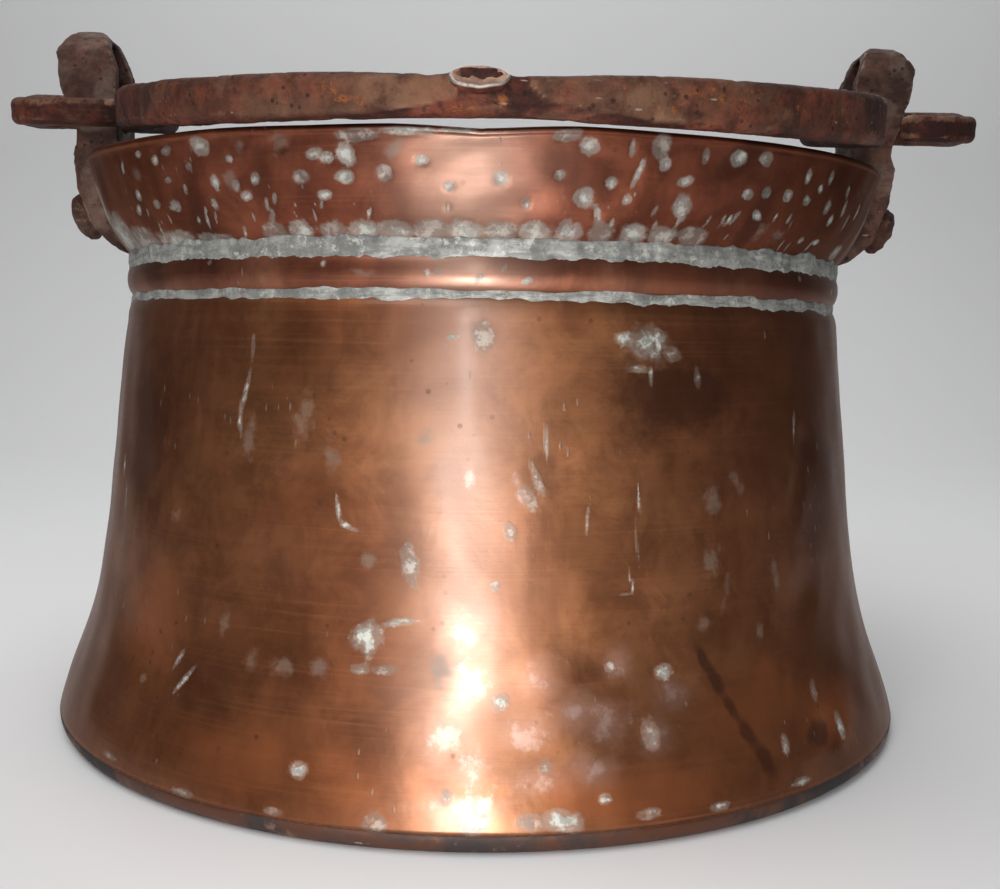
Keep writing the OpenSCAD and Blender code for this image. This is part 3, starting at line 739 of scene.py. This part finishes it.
def build_collar(material, inner):
    outer = line(bowl, -0.03, 1, 44)
    middle = outer[-1, 0] - SHEET / 2
    a = np.radians(np.linspace(-30, 210, 17))
    lip = np.stack([middle + LIP_R * np.cos(a), RIM_Z - LIP_R + LIP_R * np.sin(a)], -1)
    inside_line = outer[:-1][::-1] - [SHEET, 0]
    outline = np.concatenate([outer[:-1], lip, inside_line])
    count = len(outer) - 1 + 9
    piece, turns, z = turned("collar_skin", outline, "kettle", [material, inner],
                             count, push=collar_dents)
    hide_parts("collar")
    copper_marks(piece, turns, z, outside(turns, count),
                 tin_marks=COLLAR_DENTS + COLLAR_NICKS + COLLAR_SCALLOPS + COLLAR_PATCH + COLLAR_BACK,
                 haze=COLLAR_RINGS + scatter(24, 26, (0, 360), (155, 175), (2, 4), (1.4, 3)),
                 bare=[], orange=[], dark=scatter(25, 14, (0, 360), (154, 176), (6, 16), (4, 9)))


def build_pan(under, inner):
    top = SEAM_Z - 0.2
    corner = 4.3
    angles = np.radians(np.linspace(0, 90, 12))
    foot = float(bell_r(SEAM_Z - PAN_RISE)) - corner
    out = np.stack([foot + corner * np.sin(angles), (SEAM_Z - PAN_RISE) * (1 - np.cos(angles))], -1)
    floor = np.stack([np.linspace(2, foot - 1, 46), np.zeros(46)], -1)
    walls = [[bell_r(top), top], [bell_r(top) - SHEET, top]]
    inset = np.stack([foot + (corner - SHEET) * np.sin(angles[::-1]),
                      SEAM_Z - PAN_RISE - (SEAM_Z - PAN_RISE - SHEET) * np.cos(angles[::-1])], -1)
    inner_floor = np.stack([np.linspace(foot - 1, 2, 46), np.full(46, SHEET)], -1)
    outline = np.concatenate([floor, out, walls, inset, inner_floor])
    count = len(floor) + len(out)

    piece, _, _ = turned("base_pan_skin", outline, "kettle", [under, inner], count,
                         segments=360, closed=False)
    points = vertex_array(piece.data)
    r = np.hypot(points[:, 0], points[:, 1])
    sag = 0.35 * (1 + np.clip(waves(points[:, :2], 34, 8), -1, 1)) * smooth(foot - 2, foot - 26, r)
    points[:, 2] += sag
    piece.data.vertices.foreach_set("co", (points * MM).ravel())
    piece.data.update()
    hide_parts("base_pan")


# ---------------------------------------------------------------- tin bands and the foot's crust


def jagged(at, size, seed, sharp=1.0):
    return np.abs(waves(at, size, seed)) ** sharp


def build_bands(material, crust):
    def low_from(at):
        a = 44 + 5 * waves(at, 26, 31) + 2 * waves(at, 8, 32)
        return np.stack(shoulder(np.clip(a, 26, 66)), -1) - [0.25, 0]

    def low_to(at):
        a = -53 + 4 * waves(at, 26, 33) + 2 * waves(at, 8, 34)
        return np.stack(bead(np.clip(a, -76, -34)), -1) - [0.25, 0]

    def high_from(at):
        a = 37 - 5 * jagged(at, 16, 35) - 1.6 * jagged(at, 6, 36) - 2.2 * jagged(at, 2.6, 39)
        return np.stack(bead(np.clip(a, 8, 60)), -1) - [0.25, 0]

    def high_to(at):
        t = 0.090 + 0.018 * jagged(at, 24, 37) + 0.007 * jagged(at, 7, 38, 1.3)
        return np.stack(bowl(np.clip(t, 0.06, 0.2)), -1) - [0.3, 0]

    tin_band("tin_band_lower", "lower_seam", low_from, low_to, material, 41, 0.15)
    tin_band("tin_band_upper", "upper_seam", high_from, high_to, material, 43, 0.25)

    def foot_from(at):
        z = SEAM_Z - 1.5 - 1.4 * jagged(at, 18, 45)
        return np.stack([bell_r(SEAM_Z) - 0.35 + 0 * z, np.clip(z, 1.8, 6)], -1)

    def foot_to(at):
        z = SEAM_Z + 0.9 + 1.0 * jagged(at, 14, 46) + 0.7 * jagged(at, 3.5, 47)
        return np.stack([bell_r(z) - 0.25, z], -1)

    tin_band("foot_crust", "base_seam", foot_from, foot_to, crust, 48, 0.22)


# ---------------------------------------------------------------- iron pieces


def bail_place(points):
    """Bail points laid level: across, reach from the pin and lift."""
    y, z = points[:, 1], points[:, 2] - PIVOT_Z
    reach = -y * math.cos(LAY) - z * math.sin(LAY)
    lift = z * math.cos(LAY) - y * math.sin(LAY)
    return np.stack([points[:, 0], reach, lift], -1)


def saddle_at(place):
    """The recessed ground of the bar in front, below and between the two hammered flats."""
    up = (place[:, 2] + 0.9) / 5.6
    step = np.interp(place[:, 0], [-60, -45, -27, -7, -6, 9, 10, 14, 35, 55],
                     [-1.6, -1.05, -0.85, -0.1, 1.4, 1.4, 0.4, -0.15, -0.75, -1.5])
    return smooth(-0.12, 0.12, step - up) * smooth(100, 125, place[:, 1])


def hammer_marks(points, size, depth, seed):
    """Shallow facets left by the hammer: a random field with its tops cut off."""
    return depth * np.clip(waves(points, size, seed) + 0.25 * waves(points, size * 0.4, seed + 1), -0.3, 1.4)


def pitting(points, seed):
    coarse = np.clip(waves(points, 5.5, seed) - 0.7, 0, 2) * 0.22
    fine = np.clip(waves(points, 2.3, seed + 1) - 0.5, 0, 2) * 0.10
    return coarse + fine


def bail_dents(points, normals):
    place = bail_place(points)
    spare = smooth(40, 70, place[:, 1])          # the hooks and pins keep their size
    cut = 0.21 + hammer_marks(points, 27, 0.20, 51) * (0.35 + 0.65 * spare)
    cut = cut + pitting(points, 53) * (0.45 + 0.55 * spare)
    facing = np.clip(-normals[:, 1] * 1.4, 0, 1)
    pad = pad_at(place)
    upright = normals[:, 2] * math.cos(LAY) - normals[:, 1] * math.sin(LAY)
    side = abs(place[:, 0])
    hook = smooth(148.5, 150, side) + smooth(22, 25, place[:, 1]) * smooth(117, 119, side)
    square = 0.85 * np.clip(hook, 0, 1) * 4 * upright ** 2 * (1 - upright ** 2)
    return cut + 0.75 * saddle_at(place) * facing * (pad < 0) + 0.5 * smooth(-0.1, 0.1, pad) - square


def pad_at(place):
    """1 in the middle of the crown's oval pad, 0 on its rim, below 0 off it."""
    off = place - [PAD_X, PAD_REACH, PAD_LIFT]
    tilt = PAD_GROUND_TILT
    along = off[:, 0]
    across = off[:, 1] * math.cos(tilt) - off[:, 2] * math.sin(tilt)
    out = off[:, 1] * math.sin(tilt) + off[:, 2] * math.cos(tilt)
    inside = 1 - np.hypot(np.maximum(abs(along) - 3, 0) / 4.1, across / 4.1)
    return np.where(out > 0.2, inside, -1)


def build_bail(material):
    piece = forged("bail_bar", "bail", "bail", [material], 0.9, 5, bail_dents)
    points = vertex_array(piece.data)
    normals = vertex_normals(piece.data)
    place = bail_place(points)
    front = smooth(0.35, 0.8, -normals[:, 1]) * smooth(60, 105, place[:, 1])
    streak = smooth(-0.2, 0.6, waves(points * [0.4, 1, 1], 16, 55))
    near = np.interp(abs(place[:, 0] - 2), [0, 48, 62, 80], [1, 1, 0.5, 0.25])
    flat = front * (1 - smooth(0.1, 0.6, saddle_at(place))) * (0.45 + 0.5 * streak) * near
    attribute(piece, "flat", flat)
    attribute(piece, "pad", np.full(len(points), NO_PAD))
    build_pad(material)


def build_pad(material):
    """The worn oval at the crown: a bright rim round a hollow, rubbed face."""
    share = np.array([0.02, 0.2, 0.4, 0.58, 0.72, 0.80, 0.86, 0.92, 0.97, 1.0, 1.02, 1.02])
    rise = np.array([0.0, 0.02, 0.04, 0.08, 0.14, 0.22, 0.36, 0.42, 0.34, 0.14, -0.4, -1.8])
    spokes = 96
    a = np.arange(spokes) * 2 * math.pi / spokes
    wobble = 1 + 0.02 * np.sin(3 * a + 1) + 0.012 * np.sin(7 * a)
    along = np.outer(share, 7.1 * np.cos(a) * wobble)
    across = np.outer(share, 3.8 * np.sin(a) * wobble)
    height = np.repeat(rise[:, None], spokes, 1) + 0.55
    height = height + 0.05 * waves(np.stack([along, across], -1).reshape(-1, 2), 3, 57).reshape(height.shape)
    tilt = PAD_FACE_TILT
    reach = PAD_REACH + height * math.sin(tilt) - across * math.cos(tilt)
    lift = PAD_LIFT + height * math.cos(tilt) + across * math.sin(tilt)
    y = -reach * math.cos(LAY) - lift * math.sin(LAY)
    z = PIVOT_Z - reach * math.sin(LAY) + lift * math.cos(LAY)
    points = np.stack([along + PAD_X, y, z], -1).reshape(-1, 3)
    faces = [(j * spokes + i, j * spokes + (i + 1) % spokes,
              (j + 1) * spokes + (i + 1) % spokes, (j + 1) * spokes + i)
             for j in range(len(share) - 1) for i in range(spokes)]
    faces.append(tuple(range(spokes - 1, -1, -1)))
    faces.append(tuple((len(share) - 1) * spokes + i for i in range(spokes)))
    piece = make_mesh("crown_pad_iron", points, faces, "bail", [material])
    attribute(piece, "pad", np.repeat((1.02 - share) * 2.6, spokes))
    attribute(piece, "edge", np.zeros(len(points)))
    attribute(piece, "flat", np.zeros(len(points)))


def build_ear(name, node, side, material):
    def dents(points, normals):
        cut = 0.14 + hammer_marks(points, 13, 0.22, 61 + side) + pitting(points, 63 + side)
        in_slot = (abs(points[:, 1]) < SLOT_HALF) & (points[:, 2] > SLOT_LOW) & (points[:, 2] < SLOT_HIGH)
        return np.where(in_slot, 0.1, cut)

    piece = forged(name, node, "kettle", [material], 0.7, 6, dents)
    points = vertex_array(piece.data)
    attribute(piece, "flat", 0.5 * smooth(0.1, 0.9, waves(points, 12, 65 + side)))
    attribute(piece, "pad", np.full(len(points), NO_PAD))


def build_rivets(material):
    def head(points, normals):
        outer = smooth(136, 141, abs(points[:, 0]))
        cut = 0.1 + 0.30 * np.clip(waves(points, 6.5, 71), -0.2, 2) + pitting(points, 73) * 1.5
        return cut * (0.2 + 0.8 * outer)

    def washer(points, normals):
        return 0.05 + 0.10 * np.clip(waves(points, 5, 75), 0, 2)

    for side in ("left", "right"):
        for kind, dent in (("rivet", head), ("rove", washer)):
            node = f"{side}_{kind}"
            piece = forged(f"{node}_iron", node, "kettle", [material], 0.5, 5, dent)
            count = len(piece.data.vertices)
            attribute(piece, "flat", np.zeros(count))
            attribute(piece, "pad", np.full(count, NO_PAD))


# ---------------------------------------------------------------- camera, floor and light


def build_camera():
    """The photograph's viewpoint, fitted to the foot, the grooves and the rim; angles in radians."""
    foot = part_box("base_pan")[1].x
    back, height = 2.8571, 0.8799       # in radii of the foot
    pan, pitch, roll = 0.0159, 0.0941, 0.0171
    ahead = Vector((math.sin(pan) * math.cos(pitch), math.cos(pan) * math.cos(pitch), -math.sin(pitch)))
    right = Vector((math.cos(pan), -math.sin(pan), 0))
    up = right.cross(ahead)
    across = right * math.cos(roll) + up * math.sin(roll)
    upright = up * math.cos(roll) - right * math.sin(roll)
    data = bpy.data.cameras.new("camera")
    data.lens = 41.1
    data.sensor_width = 36
    data.clip_start = 0.01
    camera = bpy.data.objects.new("camera", data)
    bpy.context.scene.collection.objects.link(camera)
    turn = Matrix((across, upright, -ahead)).transposed().to_4x4()
    camera.matrix_world = Matrix.Translation((0, -back * foot, height * foot)) @ turn
    bpy.context.scene.camera = camera


def build_floor():
    """A pale floor that curves up into a backdrop behind the pot."""
    bend, wall_y, top = 0.35, 1.05, 1.7
    angles = np.radians(np.linspace(0, 90, 16))
    section = [(-2.2, 0.0)]
    section += [(wall_y - bend + bend * math.sin(a), bend - bend * math.cos(a)) for a in angles]
    section.append((wall_y, top))
    points, faces = [], []
    for y, z in section:
        points += [(-2.4, y, z), (2.4, y, z)]
    for i in range(len(section) - 1):
        faces.append((2 * i, 2 * i + 1, 2 * i + 3, 2 * i + 2))
    mesh = bpy.data.meshes.new("floor")
    mesh.from_pydata(points, [], faces)
    mesh.shade_smooth()
    floor = bpy.data.objects.new("floor", mesh)
    bpy.context.scene.collection.objects.link(floor)
    p = Paint("pale_cloth")
    colour = p.mix(p.noise(3, 3, 0.5), (0.78, 0.78, 0.78), (0.83, 0.83, 0.83))
    mesh.materials.append(p.finish(colour, 0.0, 0.75, p.bump(p.noise(500, 2), 0.05, 0.2)))


def area_light(name, place, aim, size, power, colour=(1, 1, 1)):
    data = bpy.data.lights.new(name, "AREA")
    data.shape = "RECTANGLE"
    data.size, data.size_y = size
    data.energy = power
    data.color = colour
    light = bpy.data.objects.new(name, data)
    light.location = place
    light.rotation_euler = (Vector(aim) - Vector(place)).to_track_quat("-Z", "Y").to_euler()
    bpy.context.scene.collection.objects.link(light)


def build_lights():
    world = bpy.data.worlds.new("studio")
    world.use_nodes = True
    world.node_tree.nodes["Background"].inputs[0].default_value = (0.86, 0.88, 0.92, 1)
    world.node_tree.nodes["Background"].inputs[1].default_value = 0.16
    bpy.context.scene.world = world
    area_light("key", (-0.03, -0.62, 0.24), (0, 0, 0.09), (0.035, 0.34), 0.64, (0.98, 0.98, 1))
    area_light("low", (-0.012, -0.30, 0.02), (0, -0.12, 0.165), (0.05, 0.10), 0.50, (1, 0.99, 0.97))
    area_light("fill", (-0.25, -0.70, 0.75), (0, 0, 0.18), (0.50, 0.30), 2.0)
    area_light("overhead", (-0.25, -0.25, 1.25), (0, 0, 0.05), (1.0, 0.9), 6.6)
    area_light("back", (0.1, 0.75, 1.15), (0, 0.35, 0.1), (1.4, 0.5), 5)
    bpy.context.scene.view_settings.view_transform = "Standard"


# ---------------------------------------------------------------- the kettle


build_camera()
build_floor()
build_lights()

wall_copper = copper("wall_copper", brown=(0.27, 0.095, 0.040), warm=(0.40, 0.165, 0.072),
                     dark=(0.105, 0.032, 0.014), pale=(0.58, 0.60, 0.55),
                     film_share=0.36, coat=0.30, coat_rough=0.16)
collar_copper = copper("collar_copper", brown=(0.20, 0.060, 0.032), warm=(0.31, 0.100, 0.055),
                       dark=(0.060, 0.017, 0.010), pale=(0.46, 0.47, 0.43),
                       film_share=0.55, coat=0.08, coat_rough=0.30)
neck_copper = copper("neck_copper", brown=(0.26, 0.085, 0.045), warm=(0.41, 0.17, 0.10),
                     dark=(0.075, 0.023, 0.014), pale=(0.45, 0.45, 0.40),
                     film_share=0.45, coat=0.25, coat_rough=0.16)
tinned = lining()
build_wall(wall_copper, tinned)
build_neck(neck_copper, tinned)
build_collar(collar_copper, tinned)
build_pan(scorched(), tinned)
band_tin = tin("band_tin", light=(0.40, 0.40, 0.37), deep=(0.16, 0.16, 0.15),
               stain=(0.15, 0.105, 0.075), amount=0.03)
foot_tin = tin("foot_tin", light=(0.16, 0.10, 0.075), deep=(0.06, 0.032, 0.026),
               stain=(0.03, 0.018, 0.018), amount=0.12)
build_bands(band_tin, foot_tin)
bail_iron = iron("bail_iron", dark=(0.026, 0.008, 0.006), red=(0.135, 0.035, 0.019),
                 worn=(0.215, 0.112, 0.066), orange=(0.28, 0.088, 0.024), rust_cover=0.03, wear=0.1)
ear_iron = iron("ear_iron", dark=(0.045, 0.022, 0.017), red=(0.125, 0.060, 0.043),
                worn=(0.250, 0.180, 0.140), orange=(0.24, 0.090, 0.034), rust_cover=-0.01, wear=0.1)
rivet_iron = iron("rivet_iron", dark=(0.040, 0.020, 0.016), red=(0.11, 0.048, 0.028),
                  worn=(0.25, 0.17, 0.12), orange=(0.24, 0.09, 0.032), rust_cover=0.06, wear=0.3)
build_bail(bail_iron)
build_ear("left_ear_iron", "left_ear", 0, ear_iron)
build_ear("right_ear_iron", "right_ear", 1, ear_iron)
build_rivets(rivet_iron)

bpy.context.view_layer.update()
